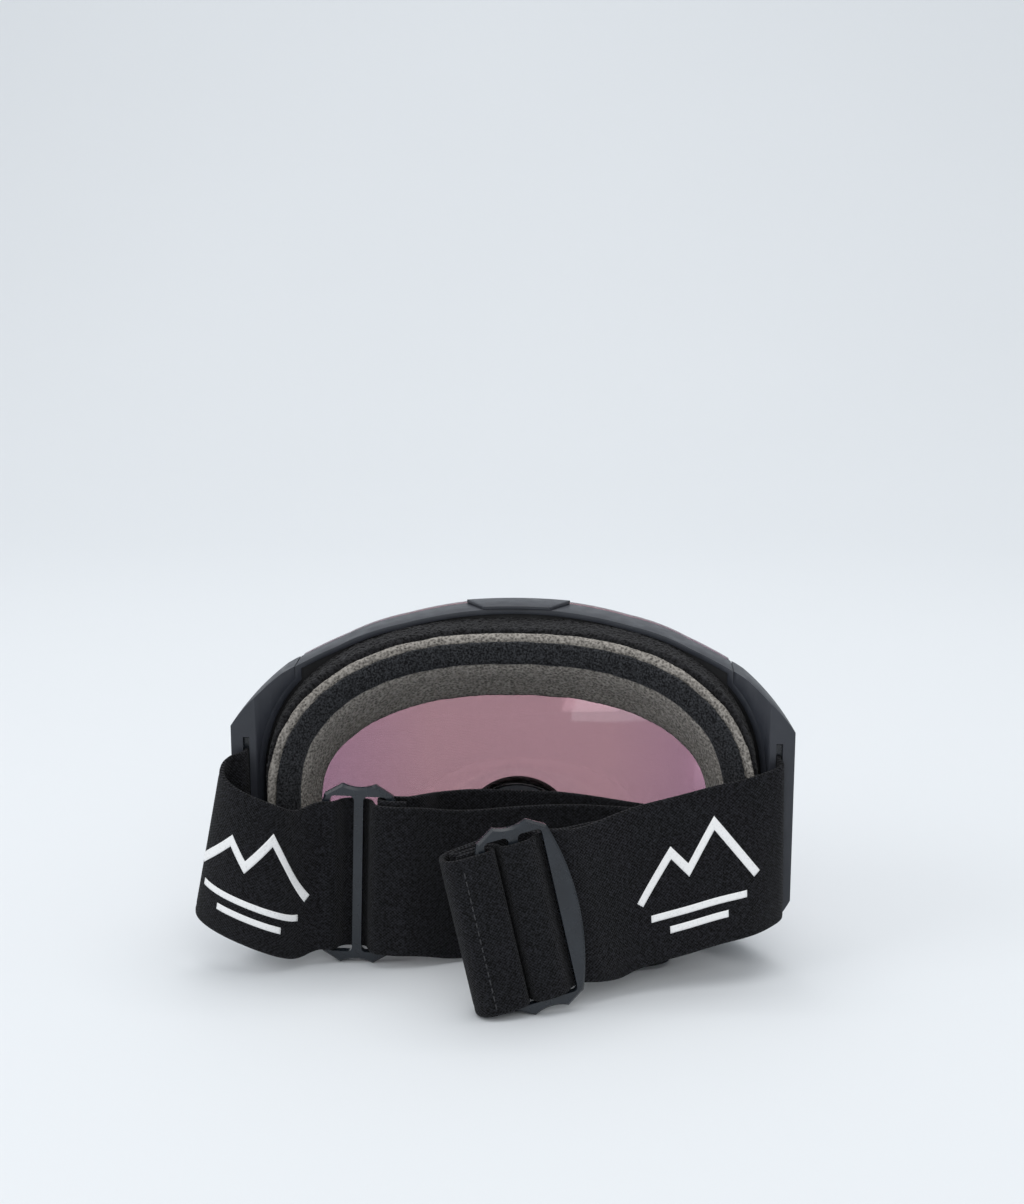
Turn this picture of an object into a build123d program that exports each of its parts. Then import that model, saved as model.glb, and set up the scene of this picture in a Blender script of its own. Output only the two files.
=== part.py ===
"""Ski goggles with a magnetic cylindrical lens and a folded elastic strap.

Frame of the model: +Z up, +X to the wearer's right hand, +Y the way the lens faces.
The goggles stand on the flats of their lower rim at z = 0.
"""

import os
from math import cos, radians, sin, sqrt

from build123d import *

os.makedirs("parts", exist_ok=True)

# ---------------------------------------------------------------- driving dimensions (mm)

# Shell. A "crown" is the y of a wrapped surface at the middle of the goggles.
wrap_radius = 98.0
shell_rear_crown = 42.0
shell_front_crown = 55.5
shell_top = 106.0
shell_half_width = 79.9
shell_mid_height = 53.0
shell_wall = 1.7
brow_radius = 193.0
brow_half_width = 69.5
seat_thickness = 3.0

# Nose arch
nose_top = 34.0
nose_radius = 11.0
nose_half_base = 30.0
nose_band = 7.5
cheek_radius = 7.0

# Outriggers: corner arms outside the shell's corners
outrigger_half_width = 88.0
outrigger_front_crown = 55.2
outrigger_face_top = 77.0
outrigger_face_bottom = 22.0
corner_start_top = (73.0, 91.7)
corner_start_bottom = (74.0, 8.0)
fit_gap = 0.18
channel_center = 83.4
channel_width = 3.4
channel_mouth = 2.2
channel_lip = 1.2
channel_depth = 4.2
channel_top = 73.5
pin_radius = 1.0
pin_y = 8.0
pin_heights = (38.0, 64.0)

# Face foam
foam_face_crown = 28.5
foam_face_thickness = 2.0
foam_stripe_thickness = 3.5
foam_front_crown = 43.0
foam_steps = 4
carrier_thickness = 2.0

# Lens pack
lens_gap = 0.3
rim_thickness = 2.5
lens_thickness = 1.8
inner_lens_crown = 52.0
inner_lens_thickness = 1.2
lens_opening_half = 70.0
lens_opening_top = 92.0
pack_clearance = 0.6
magnet_radius = 2.0
magnet_height = 1.4
magnet_track_half = 75.0
magnet_track_top = 99.0
magnet_stations = (22.0, 48.0, 66.0)

# Badge pad on the brow
badge_front_width = 35.0
badge_rear_width = 22.0
badge_height = 1.2
badge_overhang = 0.8

# Sliders
slider_length = 59.6
slider_thickness = 2.6
slider_corner = 5.2
slider_dip = 1.2
slider_shoulder = (10.8, 26.4)
slider_half_width = 15.2
slot_height = 52.0
slot_inner = 1.45
slot_outer = 9.0
slider_edge = 0.7

# Strap
strap_width = 49.5
strap_thickness = 1.5
strap_sag = 0.32
sag_start = 12.0

# Where the middle of the whole object's box lies, seen from the shell's own middle plane
box_mid_x = -6.15
box_mid_y = 7.05


# ---------------------------------------------------------------- helpers

front_plane = Plane.XZ.offset(-90)  # ahead of the goggles; its sketches are extruded back through them
through_all = 180.0


def save(name, builder):
    """Label a finished piece, move it to the object's origin and write it."""
    placed = builder.part.moved(Location((-box_mid_x, -box_mid_y, 0)))
    placed.label = name
    export_step(placed, f"parts/{name}.step")


def wrap_y(x, crown):
    """Y of the wrapped surface with this crown, at a distance x from the middle."""
    return crown - wrap_radius + sqrt(wrap_radius**2 - x**2)


def slab(rear_crown, front_crown):
    """Everything between two wrapped surfaces."""
    reach = 94.0
    with BuildPart() as piece:
        with BuildSketch(Plane.XY.offset(-20)):
            with BuildLine():
                ends = []
                for crown in (rear_crown, front_crown):
                    low = wrap_y(reach, crown)
                    ends.append(ThreePointArc((-reach, low), (0, crown), (reach, low)))
                Line(ends[0] @ 0, ends[1] @ 0)
                Line(ends[0] @ 1, ends[1] @ 1)
            make_face()
        extrude(amount=140)
    return piece.part


def wrapped(outline, rear_crown, front_crown):
    """The solid with this outline, seen from behind, between two wrapped surfaces."""
    with BuildPart() as piece:
        with BuildSketch(front_plane):
            add(outline)
        extrude(amount=through_all)
        add(slab(rear_crown, front_crown), mode=Mode.INTERSECT)
    return piece.part


def oval_rise(x, half, top, power, middle):
    """Height above the middle of a rounded, squarish oval at x."""
    return (top - middle) * (1 - (abs(x) / half) ** power) ** (1 / power)


def oval(half, top, power=2.8, middle=50.0, bottom=-1.5):
    """A rounded, squarish oval with its own height above and below its middle."""
    stations = [half * part for part in (-0.985, -0.93, -0.83, -0.68, -0.45, -0.2, 0)]
    stations += [-x for x in reversed(stations[:-1])]
    upper = [(x, middle + oval_rise(x, half, top, power, middle)) for x in stations]
    depth_top = 2 * middle - bottom
    lower = [(x, middle - oval_rise(x, half, depth_top, power, middle)) for x in reversed(stations)]
    with BuildSketch() as face:
        with BuildLine():
            Spline(*[(-half, middle)], *upper, (half, middle), *lower, periodic=True)
        make_face()
    return face.sketch


def nose(grow=0.0):
    """The gap for the nose, widened by grow on every side."""
    radius = nose_radius + grow
    spring = (radius * 0.94, nose_top - nose_radius + radius * 0.34)
    foot = (nose_half_base + grow, -12.0)
    with BuildSketch() as face:
        with BuildLine():
            arch = ThreePointArc((-spring[0], spring[1]), (0, nose_top + grow), spring)
            Polyline(arch @ 1, foot, (-foot[0], foot[1]), arch @ 0)
        make_face()
    return face.sketch


def shell_outline(inset=0.0):
    """The shell's outline from behind, nose and all: an oval with a flatter brow on top."""
    half = brow_half_width - inset
    crown = shell_top - inset
    drop = brow_radius - sqrt(brow_radius**2 - half**2)
    with BuildSketch() as face:
        add(oval(shell_half_width - inset, crown - 2, 3.1, shell_mid_height, inset - 1.5))
        with BuildLine():
            arc = ThreePointArc((-half, crown - drop), (0, crown), (half, crown - drop))
            Polyline(arc @ 1, (half, 60), (-half, 60), arc @ 0)
        make_face()
        add(nose(inset), mode=Mode.SUBTRACT)
        fillet(face.vertices().group_by(Axis.Y)[0], cheek_radius)
    return face.sketch


def opening(half, top, nose_grow, power=2.8, middle=50.0, bottom=8.0):
    """An oval opening with the nose arch standing in it."""
    with BuildSketch() as face:
        add(oval(half, top, power, middle, bottom))
        add(nose(nose_grow), mode=Mode.SUBTRACT)
    return face.sketch


def cut(outer, inner):
    """One sketch with another taken out of it."""
    with BuildSketch() as face:
        add(outer)
        add(inner, mode=Mode.SUBTRACT)
    return face.sketch


def below_floor():
    """Everything under the floor."""
    with BuildPart() as piece:
        with BuildSketch(Plane.XY):
            Rectangle(260, 260)
        extrude(amount=-30)
    return piece.part


def magnet_planes(crown):
    """Planes normal to the wrapped surface at the magnets' places."""
    planes = []
    for x in magnet_stations:
        rise = oval_rise(x, magnet_track_half, magnet_track_top, 2.8, 50.0)
        normal_y = sqrt(wrap_radius**2 - x**2) / wrap_radius
        for side in (-1, 1):
            for z in (50 + rise, 50 - rise * 0.93):
                origin = (side * x, wrap_y(x, crown), z)
                planes.append(Plane(origin=origin, z_dir=(side * x / wrap_radius, normal_y, 0)))
    return planes


# ---------------------------------------------------------------- shell and what is on it

seat_crown = shell_front_crown - seat_thickness
lens_hole = opening(lens_opening_half, lens_opening_top, nose_band)
hollow = wrapped(shell_outline(shell_wall), shell_rear_crown - 5, seat_crown)

with BuildPart() as frame_shell:
    # A full block, hollowed from behind so that a lens seat is left at the front
    add(wrapped(shell_outline(), shell_rear_crown, shell_front_crown))
    add(hollow, mode=Mode.SUBTRACT)
    with BuildSketch(front_plane):
        add(lens_hole)
    extrude(amount=through_all, mode=Mode.SUBTRACT)
    add(below_floor(), mode=Mode.SUBTRACT)
    for pocket in magnet_planes(shell_front_crown):
        with BuildSketch(pocket):
            Circle(magnet_radius)
        extrude(amount=-magnet_height, mode=Mode.SUBTRACT)
    for side in (-1, 1):
        for height in pin_heights:
            with BuildSketch(Plane(origin=(side * 74, pin_y, height), z_dir=(side, 0, 0))):
                Circle(pin_radius)
            extrude(amount=10, mode=Mode.SUBTRACT)
save("frame_shell", frame_shell)

with BuildPart() as frame_magnets:
    for pocket in magnet_planes(shell_front_crown):
        with BuildSketch(pocket):
            Circle(magnet_radius)
        extrude(amount=-magnet_height)
save("frame_magnets", frame_magnets)

with BuildPart() as top_badge:
    with BuildSketch(front_plane):
        with Locations((0, shell_top - brow_radius)):
            Circle(brow_radius + badge_height)
            Circle(brow_radius, mode=Mode.SUBTRACT)
    extrude(amount=through_all)
    with BuildSketch(Plane.XY.offset(95)):
        with BuildLine():
            Polyline(
                (-badge_front_width / 2, shell_front_crown - 1.6),
                (badge_front_width / 2, shell_front_crown - 1.6),
                (badge_rear_width / 2, shell_rear_crown - badge_overhang),
                (-badge_rear_width / 2, shell_rear_crown - badge_overhang),
                close=True,
            )
        make_face()
    extrude(amount=20, mode=Mode.INTERSECT)
save("top_badge", top_badge)

# ---------------------------------------------------------------- foam carrier and foam

stripe_crown = foam_face_crown + foam_face_thickness
base_crown = stripe_crown + foam_stripe_thickness
foam_core = opening(70.0, 92.5, 4.0)

with BuildPart() as face_carrier:
    hole = opening(64.0, 78.0, nose_band, power=2.6, middle=45, bottom=14)
    add(wrapped(cut(shell_outline(shell_wall + 0.1), hole), foam_front_crown, foam_front_crown + carrier_thickness))
save("face_carrier", face_carrier)

with BuildPart() as foam_face:
    ring = cut(opening(73.5, 97.7, 0.5, bottom=4), opening(64.5, 90.5, 6.0, bottom=10))
    add(wrapped(ring, foam_face_crown, stripe_crown))
save("foam_face", foam_face)

with BuildPart() as foam_middle:
    # Thin at the outside, full depth inside, and opening out towards the face in steps
    add(wrapped(opening(76.0, 99.6, 0.2, bottom=2.5), stripe_crown, base_crown))
    add(wrapped(foam_core, base_crown, foam_front_crown))
    step = (foam_front_crown - stripe_crown) / foam_steps
    for level in range(foam_steps):
        depth = level / (foam_steps - 1)
        hole = opening(64.5 - 1.5 * depth, 88.5 - 11.5 * depth, 6.5 + 2.5 * depth, 2.7, 47, 11 + 3 * depth)
        rear = stripe_crown + step * level
        add(wrapped(hole, rear, rear + step), mode=Mode.SUBTRACT)
save("foam_middle", foam_middle)

with BuildPart() as foam_base:
    outer = opening(77.2, 101.8, 2.6, power=2.9, middle=shell_mid_height, bottom=2.6)
    add(wrapped(cut(outer, foam_core), base_crown, foam_front_crown))
save("foam_base", foam_base)

# ---------------------------------------------------------------- outriggers

with BuildPart() as outrigger_right:
    with BuildSketch(front_plane):
        with BuildLine():
            inner = Polyline((69.8, 12.0), (69.8, 93.0), corner_start_top)
            flank_top = (outrigger_half_width, outrigger_face_top)
            flank_bottom = (outrigger_half_width, outrigger_face_bottom)
            ThreePointArc(corner_start_top, (81.2, 85.3), flank_top)
            Line(flank_top, flank_bottom)
            ThreePointArc(flank_bottom, (82.0, 13.6), corner_start_bottom)
            Line(corner_start_bottom, inner @ 0)
        make_face()
        add(
            oval(shell_half_width + fit_gap, shell_top - 2 + fit_gap, 3.1, shell_mid_height, -1.5 - fit_gap),
            mode=Mode.SUBTRACT,
        )
    extrude(amount=through_all)
    add(slab(shell_rear_crown, outrigger_front_crown), mode=Mode.INTERSECT)
    with BuildSketch(Plane.XY):
        with Locations((0, -50)):
            Rectangle(260, 100)
    extrude(amount=120, mode=Mode.SUBTRACT)
    # T-shaped channel for the strap anchor, open at the bottom
    with BuildSketch(Plane.XY):
        with Locations((channel_center, channel_lip / 2)):
            Rectangle(channel_mouth, channel_lip + 0.02)
        with Locations((channel_center, (channel_lip + channel_depth) / 2)):
            Rectangle(channel_width, channel_depth - channel_lip)
    extrude(amount=channel_top, mode=Mode.SUBTRACT)
    for height in pin_heights:
        with BuildSketch(Plane(origin=(78, pin_y, height), z_dir=(1, 0, 0))):
            Circle(pin_radius)
        extrude(amount=4.4, mode=Mode.SUBTRACT)
save("outrigger_right", outrigger_right)

with BuildPart() as outrigger_left:
    add(mirror(outrigger_right.part, about=Plane.YZ, mode=Mode.PRIVATE))
save("outrigger_left", outrigger_left)

with BuildPart() as outrigger_pins:
    for side in (-1, 1):
        for height in pin_heights:
            with BuildSketch(Plane(origin=(side * 77.6, pin_y, height), z_dir=(side, 0, 0))):
                Circle(pin_radius)
            extrude(amount=4.7)
save("outrigger_pins", outrigger_pins)

for side, name in ((-1, "left"), (1, "right")):
    with BuildPart() as strap_anchor:
        with BuildSketch(Plane.XY.offset(19)):
            with Locations((side * channel_center, (channel_lip + channel_depth) / 2 + 0.1)):
                RectangleRounded(channel_width - 0.4, channel_depth - channel_lip - 0.6, 0.6)
        extrude(amount=channel_top - 19.8)
    save(f"strap_anchor_{name}", strap_anchor)

# ---------------------------------------------------------------- lens pack

rim_crown = shell_front_crown + lens_gap
lens_crown = rim_crown + rim_thickness
pack_outline = opening(
    lens_opening_half - pack_clearance, lens_opening_top - pack_clearance, nose_band + pack_clearance, bottom=8.6
)

with BuildPart() as lens_rim:
    hole = opening(lens_opening_half - 0.1, lens_opening_top - 0.1, nose_band + 0.1, bottom=8.1)
    add(wrapped(cut(shell_outline(0.6), hole), rim_crown, lens_crown))
    add(below_floor(), mode=Mode.SUBTRACT)
    for pocket in magnet_planes(rim_crown):
        with BuildSketch(pocket):
            Circle(magnet_radius)
        extrude(amount=magnet_height, mode=Mode.SUBTRACT)
save("lens_rim", lens_rim)

with BuildPart() as lens_magnets:
    for pocket in magnet_planes(rim_crown):
        with BuildSketch(pocket):
            Circle(magnet_radius)
        extrude(amount=magnet_height)
save("lens_magnets", lens_magnets)

with BuildPart() as outer_lens:
    add(wrapped(shell_outline(0.4), lens_crown, lens_crown + lens_thickness))
    add(below_floor(), mode=Mode.SUBTRACT)
save("outer_lens", outer_lens)

with BuildPart() as inner_lens:
    add(wrapped(pack_outline, inner_lens_crown, inner_lens_crown + inner_lens_thickness))
save("inner_lens", inner_lens)

with BuildPart() as lens_spacer:
    hole = opening(lens_opening_half - 4.0, lens_opening_top - 4.0, nose_band + 1.8, bottom=12)
    add(wrapped(cut(pack_outline, hole), inner_lens_crown + inner_lens_thickness, lens_crown))
save("lens_spacer", lens_spacer)

# ---------------------------------------------------------------- sliders


class SliderFrame:
    """Where a slider stands: u runs along the strap, w to the lens side, s up its length."""

    def __init__(self, center, turn, tilt, lean):
        self.center = Vector(*center)
        plan = Vector(cos(radians(turn)), sin(radians(turn)), 0)
        back = Vector(-sin(radians(turn)), cos(radians(turn)), 0)
        length = plan * -sin(radians(tilt)) + Vector(0, 0, cos(radians(tilt))) + back * sin(radians(lean))
        self.s = length.normalized()
        self.w = (back - self.s * back.dot(self.s)).normalized()
        self.u = self.w.cross(self.s)

    def at(self, u, w, s):
        return self.center + self.u * u + self.w * w + self.s * s

    def plane(self):
        return Plane(origin=self.center, x_dir=self.u, z_dir=self.w * -1)


left_frame = SliderFrame(center=(-48.4, -3.5, 30.0), turn=0.0, tilt=-1.8, lean=0.0)
right_frame = SliderFrame(center=(7.4, -37.6, 30.2), turn=16.0, tilt=11.8, lean=5.0)

for name, frame in (("left", left_frame), ("right", right_frame)):
    half_length = slider_length / 2
    with BuildPart() as slider:
        with BuildSketch(frame.plane()):
            with BuildLine():
                for end in (-1, 1):
                    ThreePointArc(
                        (-slider_corner, end * half_length),
                        (0, end * (half_length - slider_dip)),
                        (slider_corner, end * half_length),
                    )
                for side in (-1, 1):
                    upper = Line((side * slider_corner, half_length), (side * slider_shoulder[0], slider_shoulder[1]))
                    lower = Line((side * slider_corner, -half_length), (side * slider_shoulder[0], -slider_shoulder[1]))
                    ThreePointArc(upper @ 1, (side * slider_half_width, 0), lower @ 1)
            make_face()
            with Locations(((slot_inner + slot_outer) / 2, 0), (-(slot_inner + slot_outer) / 2, 0)):
                RectangleRounded(slot_outer - slot_inner, slot_height, 1.5, mode=Mode.SUBTRACT)
        extrude(amount=slider_thickness / 2, both=True)
        rims = slider.faces().filter_by(Plane(frame.plane().origin, z_dir=frame.plane().z_dir))
        outer_edges = [face.outer_wire().edges() for face in rims]
        chamfer([edge for edges in outer_edges for edge in edges], slider_edge)
    save(f"slider_{name}", slider)

# ---------------------------------------------------------------- strap bands


def strap_solid(lower, upper):
    """A band of even thickness between the centrelines of its lower and upper edges."""
    count = len(lower)
    lengths = [0.0]
    for i in range(1, count):
        step_low = (lower[i] - lower[i - 1]).length
        step_up = (upper[i] - upper[i - 1]).length
        lengths.append(lengths[-1] + (step_low + step_up) / 2)
    parameters = [length / lengths[-1] for length in lengths]

    def edge(points, across, side):
        moved = []
        for i, point in enumerate(points):
            along = points[min(i + 1, count - 1)] - points[max(i - 1, 0)]
            outward = along.cross(across[i]).normalized()
            moved.append(point + outward * (side * strap_thickness / 2))
        return Edge.make_spline(moved, parameters=parameters)

    across = [up - low for low, up in zip(lower, upper)]
    low_out, low_in = edge(lower, across, 1), edge(lower, across, -1)
    up_out, up_in = edge(upper, across, 1), edge(upper, across, -1)
    walls = [
        Face.make_surface_from_curves(low_out, up_out),
        Face.make_surface_from_curves(low_in, up_in),
        Face.make_surface_from_curves(low_out, low_in),
        Face.make_surface_from_curves(up_out, up_in),
    ]
    for end in (0, 1):
        low = Edge.make_line(low_out @ end, low_in @ end)
        up = Edge.make_line(up_out @ end, up_in @ end)
        walls.append(Face.make_surface_from_curves(low, up))
    return Solid(Shell(walls))


def in_slider(frame, path, shift=0.0, entry_side=0):
    """Lower and upper edge points of a strap that follows path inside a slider.

    Outside the slider's bar on its entry side, the strap sags down from the slots.
    """
    half = strap_width / 2
    lower, upper = [], []
    for u, w in path:
        height = shift - strap_sag * max(u * entry_side - sag_start, 0)
        lower.append(frame.at(u, w, height - half))
        upper.append(frame.at(u, w, height + half))
    return lower, upper


def free_run(stations):
    """Lower and upper edge points from (x, y) of each edge and the lower edge's height."""
    lower = [Vector(low[0], low[1], z) for low, up, z in stations]
    upper = []
    for low, up, z in stations:
        lean = (up[0] - low[0]) ** 2 + (up[1] - low[1]) ** 2
        upper.append(Vector(up[0], up[1], z + sqrt(strap_width**2 - lean)))
    return lower, upper


def join(*runs):
    """One band from consecutive runs."""
    lower = [point for run in runs for point in run[0]]
    upper = [point for run in runs for point in run[1]]
    return lower, upper


anchor_face = channel_lip + 0.2

# Left band: left outrigger, through the left slider, S-fold, sewn round the right slider's bar
left_to_slider = free_run([
    ((-83.4, anchor_face), (-83.4, anchor_face), 20.0),
    ((-83.4, -0.6), (-83.4, -0.6), 19.9),
    ((-86.4, -2.4), (-84.4, -2.8), 19.9),
    ((-93.0, -1.8), (-87.4, -4.4), 19.6),
    ((-98.6, -2.6), (-89.2, -7.8), 18.7),
    ((-99.4, -6.6), (-88.6, -12.0), 17.0),
    ((-95.6, -10.8), (-85.2, -15.6), 14.6),
    ((-89.0, -13.9), (-80.6, -17.4), 12.1),
    ((-81.0, -15.2), (-74.8, -17.2), 9.1),
    ((-73.6, -14.2), (-70.0, -14.6), 6.0),
])
through_left = in_slider(left_frame, [
    (-17.5, -5.4), (-14.0, -3.2), (-11.0, -2.5), (-8.8, -2.3), (-7.1, -1.2), (-6.0, 0.5), (-4.4, 2.0),
    (-2.2, 2.5), (0.0, 2.5), (2.2, 2.3), (3.6, 1.2), (4.3, -0.8), (5.2, -2.9), (7.2, -4.3), (10.0, -4.7),
    (13.0, -4.8), (16.5, -4.6),
], shift=-0.5, entry_side=-1)
front_middle = free_run([
    ((-27.0, -6.2), (-27.0, -5.8), 3.4),
    ((-20.0, -3.0), (-20.0, -1.8), 1.6),
    ((-12.0, 0.0), (-12.0, 0.8), 0.8),
    ((-1.0, 2.4), (-1.0, 4.0), 0.8),
    ((10.0, 5.4), (10.0, 6.6), 0.8),
    ((20.0, 6.8), (20.0, 7.4), 0.8),
    ((30.0, 6.6), (30.0, 6.6), 0.8),
    ((39.0, 5.4), (39.0, 5.4), 0.8),
    ((44.5, 4.4), (44.5, 4.4), 0.8),
    ((47.4, 2.4), (47.4, 2.4), 0.8),
    ((47.2, -0.2), (47.2, -0.2), 0.8),
    ((44.4, -2.2), (44.4, -2.2), 0.8),
    ((36.0, -4.9), (36.0, -4.9), 0.8),
    ((25.0, -9.3), (25.0, -9.3), 0.8),
    ((13.5, -16.2), (13.5, -16.2), 0.8),
])
left_fold = in_slider(right_frame, [
    (-3.0, 13.2), (-10.0, 10.9), (-15.0, 9.6), (-18.8, 8.3), (-20.9, 6.0), (-21.4, 3.0), (-20.7, 0.0),
    (-18.8, -1.9), (-15.8, -2.5), (-12.4, -2.5), (-9.0, -2.5), (-7.1, -1.7), (-6.6, 0.0), (-7.1, 1.7),
    (-9.0, 2.5), (-12.0, 2.4), (-15.2, 2.3), (-17.0, 1.5),
], shift=-1.0)
left_run = join(left_to_slider, through_left, front_middle, left_fold)
left_band = strap_solid(*left_run)
with BuildPart() as strap_band_left:
    add(left_band)
save("strap_band_left", strap_band_left)

# Right band: right outrigger, through the right slider, S-fold, sewn round the left slider's bar
right_to_slider = free_run([
    ((83.4, anchor_face), (83.4, anchor_face), 20.0),
    ((83.4, -0.8), (83.4, -0.8), 19.6),
    ((84.8, -4.2), (84.1, -2.9), 18.6),
    ((82.0, -9.4), (80.4, -5.3), 17.2),
    ((75.6, -13.6), (73.8, -7.0), 15.6),
    ((66.0, -16.6), (64.4, -8.4), 13.9),
    ((57.0, -18.9), (54.6, -10.4), 11.8),
    ((48.0, -21.2), (44.6, -13.0), 9.9),
    ((40.0, -24.2), (36.0, -16.6), 8.3),
])
through_right = in_slider(right_frame, [
    (20.5, 4.2), (17.5, 3.0), (14.5, 2.5), (11.5, 2.5), (9.0, 2.3), (7.2, 1.2), (6.0, -0.5), (4.4, -2.0),
    (2.2, -2.6), (0.0, -2.7), (-2.2, -2.5), (-3.6, -1.4), (-4.3, 0.6), (-5.0, 2.6), (-6.8, 4.2), (-9.5, 4.7),
    (-12.5, 4.5), (-15.4, 4.2), (-17.3, 4.5), (-18.0, 5.7), (-16.8, 6.9), (-14.0, 7.6), (-9.0, 8.8),
    (-2.0, 11.0),
], shift=-0.8, entry_side=1)
back_middle = free_run([
    ((14.4, -18.4), (14.4, -18.4), 1.0),
    ((25.4, -11.8), (25.4, -11.8), 1.0),
    ((36.2, -7.2), (36.2, -7.2), 1.0),
    ((45.4, -4.3), (45.4, -4.3), 1.0),
    ((49.4, -1.2), (49.4, -1.2), 1.0),
    ((49.7, 2.8), (49.7, 2.8), 1.0),
    ((46.6, 6.0), (46.6, 6.0), 1.0),
    ((39.0, 8.4), (39.0, 8.4), 1.4),
    ((28.0, 12.2), (28.0, 12.2), 1.8),
    ((15.0, 15.6), (15.0, 15.6), 2.2),
    ((0.0, 15.8), (0.0, 15.8), 2.6),
    ((-14.0, 13.0), (-14.0, 13.0), 3.5),
    ((-24.0, 8.6), (-24.0, 8.6), 3.9),
])
right_end = in_slider(left_frame, [
    (19.0, 5.2), (15.6, 3.0), (12.0, 2.5), (9.0, 2.4), (7.2, 1.7), (6.6, 0.2), (7.0, -1.5), (9.0, -2.4),
    (12.0, -2.5), (15.2, -2.3),
], shift=0.6)
right_run = join(right_to_slider, through_right, back_middle, right_end)
right_band = strap_solid(*right_run)
with BuildPart() as strap_band_right:
    add(right_band)
save("strap_band_right", strap_band_right)
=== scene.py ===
"""The ski goggles' looks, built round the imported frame.

Lengths are in millimetres unless a name says otherwise.
"""

from math import ceil, cos, hypot, pi, radians, sin, sqrt

import bpy
import numpy as np
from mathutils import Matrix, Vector, noise

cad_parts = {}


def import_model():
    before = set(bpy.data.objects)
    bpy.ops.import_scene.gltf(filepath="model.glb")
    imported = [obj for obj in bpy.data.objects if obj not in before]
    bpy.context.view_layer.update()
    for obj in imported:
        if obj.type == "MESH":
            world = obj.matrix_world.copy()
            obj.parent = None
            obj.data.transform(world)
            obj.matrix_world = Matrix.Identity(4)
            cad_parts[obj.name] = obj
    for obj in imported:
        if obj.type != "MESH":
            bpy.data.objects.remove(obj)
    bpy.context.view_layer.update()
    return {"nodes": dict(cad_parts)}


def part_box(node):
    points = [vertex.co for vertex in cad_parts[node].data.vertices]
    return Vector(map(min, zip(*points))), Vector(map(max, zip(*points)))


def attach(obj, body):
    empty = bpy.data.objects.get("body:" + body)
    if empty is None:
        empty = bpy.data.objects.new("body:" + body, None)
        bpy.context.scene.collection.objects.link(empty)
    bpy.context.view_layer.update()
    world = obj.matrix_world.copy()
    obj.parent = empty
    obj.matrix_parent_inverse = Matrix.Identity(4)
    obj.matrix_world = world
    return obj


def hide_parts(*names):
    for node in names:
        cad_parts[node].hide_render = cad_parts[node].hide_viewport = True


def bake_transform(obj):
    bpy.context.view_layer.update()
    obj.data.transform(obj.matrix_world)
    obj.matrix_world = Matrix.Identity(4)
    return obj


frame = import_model()
nodes = frame["nodes"]

MM = 0.001

# The shell's own frame: x = 0 on its middle plane, y from the straps' outriggers, z from the floor
wrap_radius = 98.0
shell_front_crown = 55.5
shell_low, shell_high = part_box("frame_shell")
origin_x = (shell_low[0] + shell_high[0]) / 2
origin_y = shell_high[1] - shell_front_crown * MM

nose_radius = 11.0
nose_center = 23.0
nose_half_base = 30.0
nose_spring_out = 0.94
nose_spring_up = 0.34
nose_foot_depth = 12.0
corner_softness = 3.0


def world(x, y, z):
    """A point of the shell's own frame, in the row frame's metres."""
    return Vector((origin_x + x * MM, origin_y + y * MM, z * MM))


def wrap_y(x, crown):
    """Y of the wrapped surface with this crown, at a distance x from the middle."""
    return crown - wrap_radius + sqrt(wrap_radius**2 - x**2)


# ---------------------------------------------------------------- materials


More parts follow.
